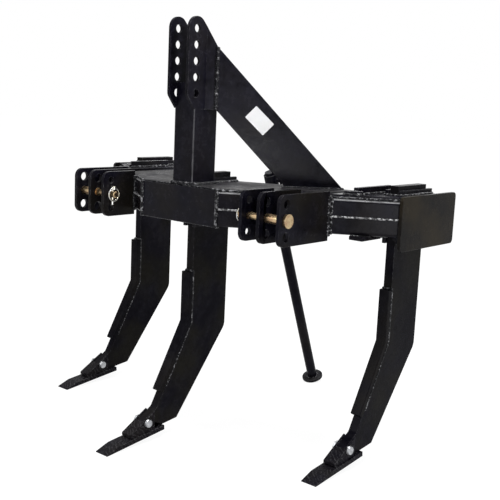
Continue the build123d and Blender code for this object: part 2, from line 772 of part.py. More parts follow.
# Rear tube between the wings, with the stand's sleeve through it
sleeve_r = leg_d / 2 + leg_clear + sleeve_wall
sleeve_axis = Plane(origin=stand_point(pin_z - sleeve_below), x_dir=(1, 0, 0), z_dir=stand_dir)
sleeve_length = (sleeve_above + sleeve_below) / cos(radians(stand_tilt))
with BuildPart() as rear_tube:
    with BuildSketch(Plane.YZ.offset(-wing_inner_plate_x)):
        with Locations((tube_y, pin_z - tube_drop)):
            RectangleRounded(tube_size, tube_size, tube_corner)
            hollow_size = tube_size - 2 * tube_wall
            RectangleRounded(hollow_size, hollow_size, tube_corner - tube_wall, mode=Mode.SUBTRACT)
    extrude(amount=2 * wing_inner_plate_x)
    with BuildSketch(sleeve_axis):
        Circle(sleeve_r)
    extrude(amount=sleeve_length, mode=Mode.SUBTRACT)
save(rear_tube.part, "rear_tube")

screw_along = sleeve_length - screw_below_top
screw_plane = Plane(origin=sleeve_axis.origin + stand_dir * screw_along, x_dir=stand_dir, z_dir=(1, 0, 0))
with BuildPart() as stand_sleeve:
    with BuildSketch(sleeve_axis):
        Circle(sleeve_r)
        Circle(leg_d / 2 + leg_clear, mode=Mode.SUBTRACT)
    extrude(amount=sleeve_length)
    with BuildSketch(screw_plane):
        Circle(screw_d / 2)
    extrude(amount=2 * sleeve_r, mode=Mode.SUBTRACT)
save(stand_sleeve.part, "stand_sleeve")

# Clamp screw with its bar, which holds the leg at its height
bar_x = sleeve_r + screw_reach - screw_bar_d
bar_start = screw_plane.origin + Vector(bar_x, 0, 0) - stand_dir * (screw_bar_length / 2)
with BuildPart() as stand_screw:
    with BuildSketch(screw_plane.offset(leg_d / 2 + toe_clear)):
        Circle(screw_d / 2)
    extrude(amount=sleeve_r + screw_reach - leg_d / 2 - toe_clear)
    with BuildSketch(Plane(origin=bar_start, x_dir=(1, 0, 0), z_dir=stand_dir)):
        Circle(screw_bar_d / 2)
    extrude(amount=screw_bar_length)
save(stand_screw.part, "stand_screw")

# Stand leg with its round foot, square to the leg
foot_z = foot_d / 2 * sin(radians(stand_tilt))
foot_plane = Plane(origin=stand_point(foot_z), x_dir=(1, 0, 0), z_dir=stand_dir)
leg_top = sleeve_axis.origin + stand_dir * (sleeve_length + leg_above_sleeve)
leg_length = (leg_top - foot_plane.origin).length - foot_thick
with BuildPart() as stand_leg:
    with BuildSketch(foot_plane):
        Circle(foot_d / 2)
    extrude(amount=foot_thick)
    with BuildSketch(foot_plane.offset(foot_thick)):
        Circle(leg_d / 2)
    extrude(amount=leg_length)
    with BuildSketch(foot_plane.offset(foot_thick)):
        Circle(leg_d / 2 - leg_wall)
    extrude(amount=leg_length - leg_wall, mode=Mode.SUBTRACT)
save(stand_leg.part, "stand_leg")
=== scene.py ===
# Finish for the three-shank subsoiler: paint, rounded edges, weld beads, blank sticker, floor and light.
# Lengths are in metres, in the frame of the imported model. X is across, -Y is the way it is pulled.

import json
import math

import bpy
from mathutils import Matrix, Vector


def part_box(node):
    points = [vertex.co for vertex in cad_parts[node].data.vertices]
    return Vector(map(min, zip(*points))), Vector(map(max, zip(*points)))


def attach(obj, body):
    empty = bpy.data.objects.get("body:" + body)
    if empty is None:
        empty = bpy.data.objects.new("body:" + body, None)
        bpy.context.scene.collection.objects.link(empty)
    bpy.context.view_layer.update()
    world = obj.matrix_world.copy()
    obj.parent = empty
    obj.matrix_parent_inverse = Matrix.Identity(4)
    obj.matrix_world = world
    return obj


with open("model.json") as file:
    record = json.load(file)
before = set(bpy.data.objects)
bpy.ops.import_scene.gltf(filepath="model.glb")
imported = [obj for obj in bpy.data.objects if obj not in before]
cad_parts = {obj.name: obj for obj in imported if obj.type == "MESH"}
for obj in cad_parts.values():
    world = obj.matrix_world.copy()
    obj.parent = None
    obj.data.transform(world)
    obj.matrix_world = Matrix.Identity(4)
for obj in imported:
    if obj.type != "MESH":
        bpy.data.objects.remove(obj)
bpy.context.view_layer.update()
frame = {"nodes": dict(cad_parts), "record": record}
nodes = frame["nodes"]
print("frame loaded:", len(nodes), "nodes")

machine = "machine"
stand = "stand"
sides = (-1, 1)


# Places read from the frame
def boxOf(name):
    low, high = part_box(name)
    return {"low": low, "high": high, "middle": (low + high) / 2}


pinBox = boxOf("hitch_pin_right")
frontBox = boxOf("front_plate")
armBox = boxOf("arm_upper_right")
lowerArmBox = boxOf("arm_lower_right")
topPlateBox = boxOf("top_plate")
postBox = boxOf("mast_post")
wingTopBox = boxOf("wing_top_plates")
linkBox = boxOf("top_link_plate_right")
braceBox = boxOf("brace_right")
tubeBox = boxOf("rear_tube")
legBox = boxOf("stand_leg")

pinY = pinBox["middle"].y
pinZ = pinBox["middle"].z
arm = {"sweep": math.radians(33), "depth": 0.070}
sweepTan = math.tan(arm["sweep"])
sweepCos = math.cos(arm["sweep"])
armDepthY = arm["depth"] / sweepCos


# How far back the front face of the swept arm lies at x
def armFace(x):
    return frontBox["low"].y + (abs(x) - frontBox["high"].x) * sweepTan


# Shader helpers
def addNode(tree, kind, place, **values):
    node = tree.nodes.new(kind)
    node.location = place
    for name, value in values.items():
        if hasattr(node, name):
            setattr(node, name, value)
        else:
            node.inputs[name.replace("_", " ")].default_value = value
    return node


def newGroup(name, inputs, outputs):
    group = bpy.data.node_groups.new(name, "ShaderNodeTree")
    for label, kind, value in inputs:
        socket = group.interface.new_socket(label, in_out="INPUT", socket_type=kind)
        if value is not None:
            socket.default_value = value
    for label, kind in outputs:
        group.interface.new_socket(label, in_out="OUTPUT", socket_type=kind)
    start = addNode(group, "NodeGroupInput", (-1200, 0))
    end = addNode(group, "NodeGroupOutput", (900, 0))
    return group, start, end


def noise(tree, place, vector, scale, detail=4.0, roughness=0.55):
    node = addNode(tree, "ShaderNodeTexNoise", place)
    node.inputs["Scale"].default_value = scale
    node.inputs["Detail"].default_value = detail
    node.inputs["Roughness"].default_value = roughness
    tree.links.new(vector, node.inputs["Vector"])
    return node.outputs["Fac"]


def mapRange(tree, place, value, fromLow, fromHigh, toLow, toHigh):
    node = addNode(tree, "ShaderNodeMapRange", place)
    node.inputs["From Min"].default_value = fromLow
    node.inputs["From Max"].default_value = fromHigh
    node.inputs["To Min"].default_value = toLow
    node.inputs["To Max"].default_value = toHigh
    tree.links.new(value, node.inputs["Value"])
    return node.outputs["Result"]


def maths(tree, place, operation, first, second):
    node = addNode(tree, "ShaderNodeMath", place, operation=operation)
    for socket, value in zip(node.inputs, (first, second)):
        if isinstance(value, (int, float)):
            socket.default_value = value
        else:
            tree.links.new(value, socket)
    return node.outputs[0]


def mixColour(tree, place, factor, first, second):
    node = addNode(tree, "ShaderNodeMix", place, data_type="RGBA")
    for name, value in (("Factor", factor), ("A", first), ("B", second)):
        socket = next(s for s in node.inputs if s.name == name and (s.type == "RGBA" or name == "Factor"))
        if isinstance(value, (int, float, tuple)):
            socket.default_value = value
        else:
            tree.links.new(value, socket)
    return next(s for s in node.outputs if s.type == "RGBA")


# Sprayed paint: uneven gloss, slight colour drift and fine orange peel
def makePaintGroup():
    group, start, end = newGroup(
        "sprayedPaint",
        (
            ("Vector", "NodeSocketVector", None),
            ("Colour", "NodeSocketColor", (0.02, 0.02, 0.02, 1)),
            ("Light Colour", "NodeSocketColor", (0.03, 0.03, 0.03, 1)),
            ("Warm Colour", "NodeSocketColor", (0.03, 0.02, 0.01, 1)),
            ("Warmth", "NodeSocketFloat", 0.5),
            ("Warm Scale", "NodeSocketFloat", 7.5),
            ("Gloss Low", "NodeSocketFloat", 0.3),
            ("Gloss High", "NodeSocketFloat", 0.5),
            ("Peel", "NodeSocketFloat", 1.0),
        ),
        (("Colour", "NodeSocketColor"), ("Roughness", "NodeSocketFloat"), ("Height", "NodeSocketFloat")),
    )
    vector = start.outputs["Vector"]
    broad = noise(group, (-900, 300), vector, 7, 5)
    streak = noise(group, (-900, 50), vector, 45, 6, 0.65)
    blend = maths(group, (-650, 200), "MULTIPLY_ADD", streak, 0.5)
    group.links.new(maths(group, (-750, 350), "MULTIPLY", broad, 0.5), blend.node.inputs[2])
    patch = mapRange(group, (-450, 200), blend, 0.40, 0.62, 0, 1)
    colour = mixColour(group, (-150, 350), patch, start.outputs["Colour"], start.outputs["Light Colour"])
    drift = noise(group, (-900, 600), vector, 7.5, 3, 0.5)
    group.links.new(start.outputs["Warm Scale"], drift.node.inputs["Scale"])
    drift = mapRange(group, (-450, 600), drift, 0.42, 0.64, 0, 1)
    drift = maths(group, (-250, 600), "MULTIPLY", drift, start.outputs["Warmth"])
    colour = mixColour(group, (150, 400), drift, colour, start.outputs["Warm Colour"])
    group.links.new(colour, end.inputs["Colour"])
    gloss = addNode(group, "ShaderNodeMix", (-150, 100), data_type="FLOAT")
    group.links.new(patch, gloss.inputs[0])
    group.links.new(start.outputs["Gloss Low"], gloss.inputs[2])
    group.links.new(start.outputs["Gloss High"], gloss.inputs[3])
    group.links.new(gloss.outputs[0], end.inputs["Roughness"])
    peel = noise(group, (-900, -250), vector, 420, 2)
    sag = noise(group, (-900, -450), vector, 38, 3)
    height = maths(group, (-250, -300), "MULTIPLY_ADD", sag, 1.6)
    peel = maths(group, (-450, -200), "MULTIPLY", peel, start.outputs["Peel"])
    group.links.new(peel, height.node.inputs[2])
    group.links.new(height, end.inputs["Height"])
    return group


# Edge wear and painted edge highlights: where a rounded normal leaves the true one, broken up by noise
def makeEdgeWearAndHighlightGroup():
    group, start, end = newGroup(
        "wornAndHighlightedEdges",
        (
            ("Vector", "NodeSocketVector", None),
            ("Amount", "NodeSocketFloat", 0.5),
        ),
        (("Mask", "NodeSocketFloat"),),
    )
    rounded = addNode(group, "ShaderNodeBevel", (-900, 200), samples=6)
    rounded.inputs["Radius"].default_value = 0.003
    geometry = addNode(group, "ShaderNodeNewGeometry", (-900, 0))
    along = addNode(group, "ShaderNodeVectorMath", (-650, 100), operation="DOT_PRODUCT")
    group.links.new(rounded.outputs["Normal"], along.inputs[0])
    group.links.new(geometry.outputs["Normal"], along.inputs[1])
    edge = mapRange(group, (-400, 100), along.outputs["Value"], 0.985, 0.80, 0, 1)
    broken = noise(group, (-650, -200), start.outputs["Vector"], 60, 6, 0.7)
    broken = mapRange(group, (-400, -200), broken, 0.45, 0.7, 0, 1)
    mask = maths(group, (-100, 0), "MULTIPLY", edge, broken)
    mask = maths(group, (100, 0), "MULTIPLY", mask, start.outputs["Amount"])
    group.links.new(mask, end.inputs["Mask"])
    return group


# Fine dust that settles on faces that look up, with a painted sheen on the same faces
def makeDustAndSheenGroup():
    group, start, end = newGroup(
        "dustAndTopSheen",
        (
            ("Vector", "NodeSocketVector", None),
            ("Amount", "NodeSocketFloat", 0.3),
        ),
        (("Mask", "NodeSocketFloat"),),
    )
    geometry = addNode(group, "ShaderNodeNewGeometry", (-900, 0))
    split = addNode(group, "ShaderNodeSeparateXYZ", (-700, 0))
    group.links.new(geometry.outputs["Normal"], split.inputs[0])
    up = mapRange(group, (-450, 0), split.outputs["Z"], 0.75, 1.0, 0, 1)
    spots = noise(group, (-700, -250), start.outputs["Vector"], 28, 8, 0.7)
    spots = mapRange(group, (-450, -250), spots, 0.35, 0.75, 0, 1)
    mask = maths(group, (-150, 0), "MULTIPLY", up, spots)
    mask = maths(group, (50, 0), "MULTIPLY", mask, start.outputs["Amount"])
    group.links.new(mask, end.inputs["Mask"])
    return group


# Painted highlights on the round corners of tube and formed plate: upright ones, and lying ones that look
# up, found from the way each face points
def makePaintedCornerHighlightGroup():
    group, start, end = newGroup(
        "paintedCornerHighlights",
        (
            ("Vector", "NodeSocketVector", None),
            ("Upright", "NodeSocketFloat", 0.0),
            ("Lying", "NodeSocketFloat", 0.0),
        ),
        (("Mask", "NodeSocketFloat"),),
    )
    geometry = addNode(group, "ShaderNodeNewGeometry", (-1100, 0))
    split = addNode(group, "ShaderNodeSeparateXYZ", (-900, 0))
    group.links.new(geometry.outputs["Normal"], split.inputs[0])
    across = maths(group, (-700, 200), "MULTIPLY", split.outputs["X"], split.outputs["Y"])
    across = maths(group, (-550, 200), "ABSOLUTE", across, 0.0)
    upright = mapRange(group, (-400, 200), across, 0.41, 0.49, 0, 1)
    tall = maths(group, (-700, -100), "MULTIPLY", split.outputs["Z"], split.outputs["Z"])
    tall = maths(group, (-550, -100), "SUBTRACT", 1.0, tall)
    tall = maths(group, (-400, -100), "SQRT", tall, 0.0)
    lying = maths(group, (-250, -100), "MULTIPLY", tall, split.outputs["Z"])
    lying = mapRange(group, (-100, -100), lying, 0.38, 0.48, 0, 1)
    upright = maths(group, (100, 200), "MULTIPLY", upright, start.outputs["Upright"])
    lying = maths(group, (100, -100), "MULTIPLY", lying, start.outputs["Lying"])
    both = maths(group, (250, 0), "ADD", upright, lying)
    broken = noise(group, (0, -300), start.outputs["Vector"], 38, 5, 0.6)
    broken = mapRange(group, (250, -300), broken, 0.3, 0.55, 0.35, 1)
    group.links.new(maths(group, (450, 0), "MULTIPLY", both, broken), end.inputs["Mask"])
    return group


paintGroup = makePaintGroup()
edgeWearAndHighlightGroup = makeEdgeWearAndHighlightGroup()
dustAndSheenGroup = makeDustAndSheenGroup()
paintedCornerHighlightGroup = makePaintedCornerHighlightGroup()


def placeGroup(tree, group, place, vector, **values):
    node = addNode(tree, "ShaderNodeGroup", place)
    node.node_tree = group
    tree.links.new(vector, node.inputs["Vector"])
    for name, value in values.items():
        node.inputs[name].default_value = value
    return node


def newMaterial(name):
    material = bpy.data.materials.new(name)
    material.use_nodes = True
    tree = material.node_tree
    shader = next(n for n in tree.nodes if n.type == "BSDF_PRINCIPLED")
    coordinates = addNode(tree, "ShaderNodeTexCoord", (-1300, 0))
    return material, tree, shader, coordinates.outputs["Object"]


# Satin black paint, with the values that change from piece to piece
def makePaint(name, look):
    material, tree, shader, vector = newMaterial(name)
    paint = placeGroup(tree, paintGroup, (-900, 200), vector, Peel=look["peel"])
    paint.inputs["Colour"].default_value = look["colour"]
    paint.inputs["Light Colour"].default_value = look["lightColour"]
    paint.inputs["Warm Colour"].default_value = look["warmColour"]
    paint.inputs["Warmth"].default_value = look["warmth"]
    paint.inputs["Warm Scale"].default_value = look["warmScale"]
    paint.inputs["Gloss Low"].default_value = look["glossLow"]
    paint.inputs["Gloss High"].default_value = look["glossHigh"]
    edgeWearAndHighlight = placeGroup(tree, edgeWearAndHighlightGroup, (-900, -150), vector, Amount=look["wear"])
    dustAndSheen = placeGroup(tree, dustAndSheenGroup, (-900, -350), vector, Amount=look["dustAndSheen"])
    # Bare and highlight colour on the edges: partly worn paint, partly painted edge highlights
    colour = mixColour(tree, (-550, 250), edgeWearAndHighlight.outputs["Mask"], paint.outputs["Colour"], look["bareAndHighlight"])
    # Lighter colour on faces that look up: partly dust, partly painted sheen
    colour = mixColour(tree, (-300, 250), dustAndSheen.outputs["Mask"], colour, look["dustAndSheenColour"])
    # Painted highlights on round corners, in the bare and highlight colour
    if look["upright"] + look["lying"] > 0:
        cornerHighlights = placeGroup(tree, paintedCornerHighlightGroup, (-900, -750), vector)
        cornerHighlights.inputs["Upright"].default_value = look["upright"]
        cornerHighlights.inputs["Lying"].default_value = look["lying"]
        colour = mixColour(tree, (-200, 450), cornerHighlights.outputs["Mask"], colour, look["bareAndHighlight"])
    # Lighter diagonal streaks along forged ripples, in the bare and highlight colour: partly bare metal,
    # partly painted glints
    if look["rippleWearAndGlint"] > 0:
        bands = addNode(tree, "ShaderNodeTexWave", (-900, 500), wave_type="BANDS")
        bands.bands_direction = "DIAGONAL"
        bands.inputs["Scale"].default_value = 38
        bands.inputs["Distortion"].default_value = 9
        bands.inputs["Detail"].default_value = 4
        tree.links.new(vector, bands.inputs["Vector"])
        streak = mapRange(tree, (-650, 500), bands.outputs["Fac"], 0.84, 0.98, 0, look["rippleWearAndGlint"])
        broken = mapRange(tree, (-650, 650), noise(tree, (-900, 700), vector, 60, 3), 0.4, 0.6, 0, 1)
        streak = maths(tree, (-450, 500), "MULTIPLY", streak, broken)
        colour = mixColour(tree, (-100, 400), streak, colour, look["bareAndHighlight"])
    tree.links.new(colour, shader.inputs["Base Color"])
    rough = maths(tree, (-300, 0), "MULTIPLY_ADD", dustAndSheen.outputs["Mask"], 0.4)
    tree.links.new(paint.outputs["Roughness"], rough.node.inputs[2])
    tree.links.new(rough, shader.inputs["Roughness"])
    height = paint.outputs["Height"]
    if look["forged"] > 0:
        lumps = noise(tree, (-900, -550), vector, look["forgedScale"], 5, 0.6)
        lumps = maths(tree, (-650, -550), "MULTIPLY", lumps, look["forged"])
        height = maths(tree, (-450, -450), "ADD", lumps, height)
    bump = addNode(tree, "ShaderNodeBump", (-250, -300))
    bump.inputs["Strength"].default_value = look["bump"]
    bump.inputs["Distance"].default_value = 0.00025
    tree.links.new(height, bump.inputs["Height"])
    tree.links.new(bump.outputs["Normal"], shader.inputs["Normal"])
    shader.inputs["IOR"].default_value = look["bend"]
    return material


paintLook = {
    "colour": (0.0026, 0.0024, 0.0050, 1),
    "lightColour": (0.0078, 0.0074, 0.0118, 1),
    "warmColour": (0.0120, 0.0098, 0.0062, 1),
    "warmth": 0.35,
    "warmScale": 7.5,
    # Bare metal colour, also used for painted highlights on edges, corners and ripples
    "bareAndHighlight": (0.17, 0.17, 0.18, 1),
    "dustAndSheenColour": (0.05, 0.049, 0.047, 1),
    "glossLow": 0.16,
    "glossHigh": 0.32,
    "peel": 0.8,
    "wear": 0.7,
    "dustAndSheen": 0.10,
    "bump": 0.5,
    "bend": 1.16,
    "forged": 0.0,
    "forgedScale": 90,
    "rippleWearAndGlint": 0.0,
    # Strength of the painted corner highlights, upright and lying
    "upright": 0.0,
    "lying": 0.0,
}
slotLooks = {
    "frame_paint": {},
    "mast_paint": {
        "dustAndSheen": 0.05, "bend": 1.13, "warmth": 0.2,
        "colour": (0.0018, 0.0017, 0.0038, 1), "lightColour": (0.0082, 0.0078, 0.0125, 1),
    },
    # Stand: heavy dust and painted sheen on faces that look up
    "stand_paint": {"bend": 1.13, "dustAndSheen": 0.6, "dustAndSheenColour": (0.10, 0.10, 0.098, 1)},
    "shank_paint": {
        "glossLow": 0.18, "glossHigh": 0.34, "forged": 1.5, "forgedScale": 30, "bend": 1.085, "warmth": 0.75,
        "colour": (0.0030, 0.0027, 0.0050, 1), "lightColour": (0.0095, 0.0090, 0.0125, 1),
        "warmColour": (0.0104, 0.0096, 0.0070, 1), "warmScale": 6.5,
    },
    "shin_paint": {
        "glossLow": 0.18, "glossHigh": 0.36, "forged": 3.0, "forgedScale": 55, "bend": 1.09,
        "colour": (0.0026, 0.0024, 0.0040, 1), "lightColour": (0.0080, 0.0078, 0.0100, 1),
    },
    "point_paint": {
        "glossLow": 0.14, "glossHigh": 0.34, "forged": 12.0, "forgedScale": 95, "bump": 0.9, "bend": 1.09,
        # Points: streaks of bare metal and painted glints, and strong edge wear and painted edge highlights
        "warmth": 0.4, "wear": 0.8, "rippleWearAndGlint": 0.2,
    },
}
# Pieces that differ from the rest of their slot
pieceLooks = {
    "end_plate": {
        "colour": (0.0042, 0.0038, 0.0042, 1), "lightColour": (0.0105, 0.0092, 0.0080, 1),
        "warmColour": (0.0190, 0.0148, 0.0084, 1), "warmth": 0.9, "warmScale": 6.0,
        "bend": 1.12, "glossLow": 0.2, "glossHigh": 0.3,
    },
    "hitch_plate": {
        "slot": "mast_paint", "warmColour": (0.0090, 0.0078, 0.0058, 1), "warmth": 0.8,
        "warmScale": 5.0, "bend": 1.125, "dustAndSheen": 0.05, "glossLow": 0.2, "glossHigh": 0.3,
    },
    "top_plate": {
        "glossLow": 0.2, "glossHigh": 0.5, "bend": 1.09,
        # Dust and painted sheen on the top of the top plate
        "dustAndSheen": 0.35, "dustAndSheenColour": (0.11, 0.109, 0.105, 1),
    },
    # Painted highlight down the upright round corners of the post
    "mast_post": {"slot": "mast_paint", "upright": 0.32},
    # Painted shade: a darker copy of the shank paint for the right shank
    "shank_right": {
        "slot": "shank_paint", "warmth": 0.6,
        "colour": (0.0022, 0.0020, 0.0040, 1), "lightColour": (0.0070, 0.0066, 0.0098, 1),
    },
    # Arms: painted highlight along the upper round corner in a lighter colour, with less edge wear and
    # painted edge highlight
    "arm_": {"lying": 0.8, "bareAndHighlight": (0.34, 0.34, 0.35, 1), "wear": 0.4},
}


def makeMetal(name, look):
    material, tree, shader, vector = newMaterial(name)
    patch = noise(tree, (-900, 200), vector, look["patchScale"], 5, 0.6)
    patch = mapRange(tree, (-650, 200), patch, 0.35, 0.65, 0, 1)
    colour = mixColour(tree, (-400, 250), patch, look["colour"], look["patch"])
    tree.links.new(colour, shader.inputs["Base Color"])
    rough = noise(tree, (-900, -50), vector, 160, 4)
    rough = mapRange(tree, (-400, 0), rough, 0.3, 0.7, look["glossLow"], look["glossHigh"])
    tree.links.new(rough, shader.inputs["Roughness"])
    bump = addNode(tree, "ShaderNodeBump", (-250, -300))
    bump.inputs["Strength"].default_value = 0.35
    bump.inputs["Distance"].default_value = 0.0002
    tree.links.new(noise(tree, (-650, -300), vector, look["grain"], 3), bump.inputs["Height"])
    tree.links.new(bump.outputs["Normal"], shader.inputs["Normal"])
    shader.inputs["Metallic"].default_value = 1.0
    return material


metalLooks = {
    "pin_plating": {
        "colour": (0.60, 0.47, 0.27, 1), "patch": (0.42, 0.27, 0.16, 1), "patchScale": 55,
        "glossLow": 0.18, "glossHigh": 0.4, "grain": 300,
    },
    "linch_plating": {
        "colour": (0.62, 0.58, 0.46, 1), "patch": (0.5, 0.5, 0.5, 1), "patchScale": 60,
        "glossLow": 0.2, "glossHigh": 0.35, "grain": 300,
    },
    "bolt_plating": {
        "colour": (0.50, 0.51, 0.53, 1), "patch": (0.26, 0.27, 0.28, 1), "patchScale": 90,
        "glossLow": 0.28, "glossHigh": 0.5, "grain": 260,
    },
}

materials = {}
for slotName, change in slotLooks.items():
    materials[slotName] = makePaint(slotName, {**paintLook, **change})
for slotName, look in metalLooks.items():
    materials[slotName] = makeMetal(slotName, look)
piecePaints = {}
for start, change in pieceLooks.items():
    slotLook = slotLooks[change.get("slot", "frame_paint")]
    piecePaints[start] = makePaint(start.strip("_") + "_paint", {**paintLook, **slotLook, **change})


# Painted weld: dark paint with painted glints, bright specks laid by noise and weaker in some runs
def makeWeldPaint(name, look):
    material, tree, shader, vector = newMaterial(name)
    glint = noise(tree, (-900, 300), vector, look["glintScale"], 2, 0.6)
    glint = mapRange(tree, (-650, 300), glint, look["glintLow"], look["glintLow"] + 0.07, 0, 1)
    run = mapRange(tree, (-650, 50), noise(tree, (-900, 50), vector, 22, 3), 0.38, 0.55, look["evenness"], 1)
    mask = maths(tree, (-450, 200), "MULTIPLY", glint, run)
    colour = mixColour(tree, (-250, 250), mask, look["colour"], look["glintColour"])
    tree.links.new(colour, shader.inputs["Base Color"])
    rough = mapRange(tree, (-250, 0), mask, 0, 1, 0.34, 0.12)
    tree.links.new(rough, shader.inputs["Roughness"])
    bump = addNode(tree, "ShaderNodeBump", (-250, -300))
    bump.inputs["Strength"].default_value = 0.9
    bump.inputs["Distance"].default_value = 0.0008
    tree.links.new(noise(tree, (-650, -300), vector, 260, 4), bump.inputs["Height"])
    tree.links.new(bump.outputs["Normal"], shader.inputs["Normal"])
    shader.inputs["IOR"].default_value = look["bend"]
    return material


weldLooks = {
    "weldPaint": {
        "colour": (0.004, 0.004, 0.0055, 1), "glintColour": (0.20, 0.20, 0.21, 1), "glintScale": 140,
        "glintLow": 0.53, "evenness": 0.4, "bend": 1.24,
    },
    # Brighter painted glints on a lighter base, for the seam along the arms
    "weldBrightGlints": {
        "colour": (0.010, 0.010, 0.012, 1), "glintColour": (0.42, 0.42, 0.43, 1), "glintScale": 120,
        "glintLow": 0.47, "evenness": 0.35, "bend": 1.4,
    },
}
# Weaker painted glints, for the beads of the mast
weldLooks["weldDullGlints"] = {**weldLooks["weldPaint"], "glintColour": (0.095, 0.095, 0.10, 1), "bend": 1.2}
weldPaints = {name: makeWeldPaint(name, look) for name, look in weldLooks.items()}
print("materials made:", len(materials) + len(piecePaints) + len(weldPaints))


# Rounded edges on the welded plates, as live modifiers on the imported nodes
edgeRound = {
    "frame_paint": 0.0012,
    "mast_paint": 0.0016,
    "shank_paint": 0.0022,
    "shin_paint": 0.0025,
    "point_paint": 0.0016,
    "stand_paint": 0.0008,
    "pin_plating": 0.0008,
    "linch_plating": 0.0003,
    "bolt_plating": 0.0008,
}
edgeFinish = {"merge": 0.00001, "flatBelow": 0.5, "roundAbove": 35, "segments": 2, "weight": 60}
slotOf = {entry["node"]: entry["material_slot"] for entry in frame["record"]["subparts"]}


def roundEdges(node, width):
    for polygon in node.data.polygons:
        polygon.use_smooth = True
    weld = node.modifiers.new("weld", "WELD")
    weld.merge_threshold = edgeFinish["merge"]
    flat = node.modifiers.new("flat", "DECIMATE")
    flat.decimate_type = "DISSOLVE"
    flat.angle_limit = math.radians(edgeFinish["flatBelow"])
    bevel = node.modifiers.new("round", "BEVEL")
    bevel.width = width
    bevel.segments = edgeFinish["segments"]
    bevel.limit_method = "ANGLE"
    bevel.angle_limit = math.radians(edgeFinish["roundAbove"])
    bevel.use_clamp_overlap = True
    normals = node.modifiers.new("normals", "WEIGHTED_NORMAL")
    normals.keep_sharp = False
    normals.weight = edgeFinish["weight"]


for name, node in nodes.items():
    slotName = slotOf[name]
    node.data.materials.clear()
    own = next((start for start in piecePaints if name.startswith(start)), None)
    node.data.materials.append(piecePaints[own] if own else materials[slotName])
    roundEdges(node, edgeRound[slotName])
print("nodes finished")


# Weld beads: a squashed ripple, repeated along the seam
weldLook = {
    "flat": 0.72,
    "thin": 0.62,
    "lean": 0.45,
    "step": 0.62,
    "rough": 0.0007,
    "segments": 8,
    "rings": 6,
}


def deselect():
    for piece in bpy.context.selected_objects:
        piece.select_set(False)


def addRipple(radius, **place):
    segments = weldLook["segments"]
    rings = weldLook["rings"]
    bpy.ops.mesh.primitive_uv_sphere_add(segments=segments, ring_count=rings, radius=radius, **place)
    return bpy.context.object


def layBead(beads, start, end, radius):
    start = Vector(start)
    run = Vector(end) - start
    count = max(2, round(run.length / (radius * weldLook["step"])))
    deselect()
    bead = addRipple(radius, rotation=(0, weldLook["lean"], 0))
    bead.scale = (weldLook["thin"], 1, weldLook["flat"])
    bpy.ops.object.transform_apply(location=False, rotation=True, scale=True)
    row = bead.modifiers.new("row", "ARRAY")
    row.use_relative_offset = False
    row.use_constant_offset = True
    row.constant_offset_displace = (run.length / (count - 1), 0, 0)
    row.count = count
    bpy.ops.object.modifier_apply(modifier="row")
    bead.rotation_mode = "QUATERNION"
    bead.rotation_quaternion = run.to_track_quat("X", "Z")
    bead.location = start
    bpy.ops.object.transform_apply(location=True, rotation=True, scale=True)
    beads.append(bead)


# The same bead on one side of the machine: -1 is left, 1 is right
def laySide(beads, side, start, end, radius):
    layBead(beads, (side * start[0], *start[1:]), (side * end[0], *end[1:]), radius)


def layUpright(beads, side, x, y, low, high, radius):
    laySide(beads, side, (x, y, low), (x, y, high), radius)


# A bead across the machine that keeps to the swept arm, as far back from its face as back says
def layAlongArm(beads, side, startX, endX, back, z, radius):
    laySide(beads, side, (startX, armFace(startX) + back, z), (endX, armFace(endX) + back, z), radius)


# A bead round a tube, as ripples spun about an upright line, stretched front to rear and tilted
def layRing(beads, centre, ringRadius, radius, stretch=1.0, lean=0.0):
    deselect()
    place = (centre[0] + ringRadius, centre[1], centre[2])
    bead = addRipple(radius, location=place)
    bead.scale = (1, weldLook["thin"], weldLook["flat"])
    bpy.ops.object.transform_apply(location=True, rotation=True, scale=True)
    steps = max(12, round(2 * math.pi * ringRadius / (radius * weldLook["step"])))
    bpy.ops.object.mode_set(mode="EDIT")
    bpy.ops.mesh.select_all(action="SELECT")
    bpy.ops.mesh.spin(steps=steps, dupli=True, angle=2 * math.pi, center=centre, axis=(0, 0, 1))
    bpy.ops.mesh.select_all(action="SELECT")
    bpy.ops.transform.resize(value=(1, stretch, 1), center_override=centre)
    bpy.ops.transform.rotate(value=-lean, orient_axis="X", center_override=centre)
    bpy.ops.object.mode_set(mode="OBJECT")
    beads.append(bead)


def joinBeads(beads, name, body, seed, paint="weldPaint"):
    deselect()
    for bead in beads:
        bead.select_set(True)
    bpy.context.view_layer.objects.active = beads[0]
    if len(beads) > 1:
        bpy.ops.object.join()
    joined = bpy.context.object
    joined.name = name
    bpy.ops.object.mode_set(mode="EDIT")
    bpy.ops.mesh.select_all(action="SELECT")
    bpy.ops.transform.vertex_random(offset=weldLook["rough"], seed=seed)
    bpy.ops.mesh.normals_make_consistent(inside=False)
    bpy.ops.object.mode_set(mode="OBJECT")
    bpy.ops.object.shade_smooth()
    joined.data.materials.clear()
    joined.data.materials.append(weldPaints[paint])
    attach(joined, body)
    print(name, "triangles about", sum(len(p.vertices) - 2 for p in joined.data.polygons))


seamWelds = {"radius": 0.0048, "proud": 0.001}


def seamBeads():
    beads = []
    for s in sides:
        frontX = frontBox["high"].x
        start = (frontX, frontBox["low"].y - seamWelds["proud"], pinZ)
        end = (armBox["high"].x, armFace(armBox["high"].x) - seamWelds["proud"], pinZ)
        laySide(beads, s, start, end, seamWelds["radius"])
    # The seam beads carry the brighter painted glints
    joinBeads(beads, "weld_beads_seam", machine, 2, "weldBrightGlints")


frameWelds = {
    "frontEnds": 0.0080,
    "topSides": 0.0060,
    "endPlates": 0.0045,
    "wingFront": 0.0055,
    "wingEnds": 0.0050,
    "wingFloor": 0.0045,
    "underArms": 0.0040,
    "topFront": 0.0050,
    "frontFoot": 0.0050,
    "rearTube": 0.0045,
    "plate": 0.008,
    "frontPlate": 0.012,
    "raise": 0.003,
    "seat": 0.004,
    "footRaise": 0.001,
    "tubeCorner": 0.010,
    "wingStart": 0.455,
    "floorStart": 0.520,
    "floorEnd": 0.569,
    "underStart": 0.250,
}


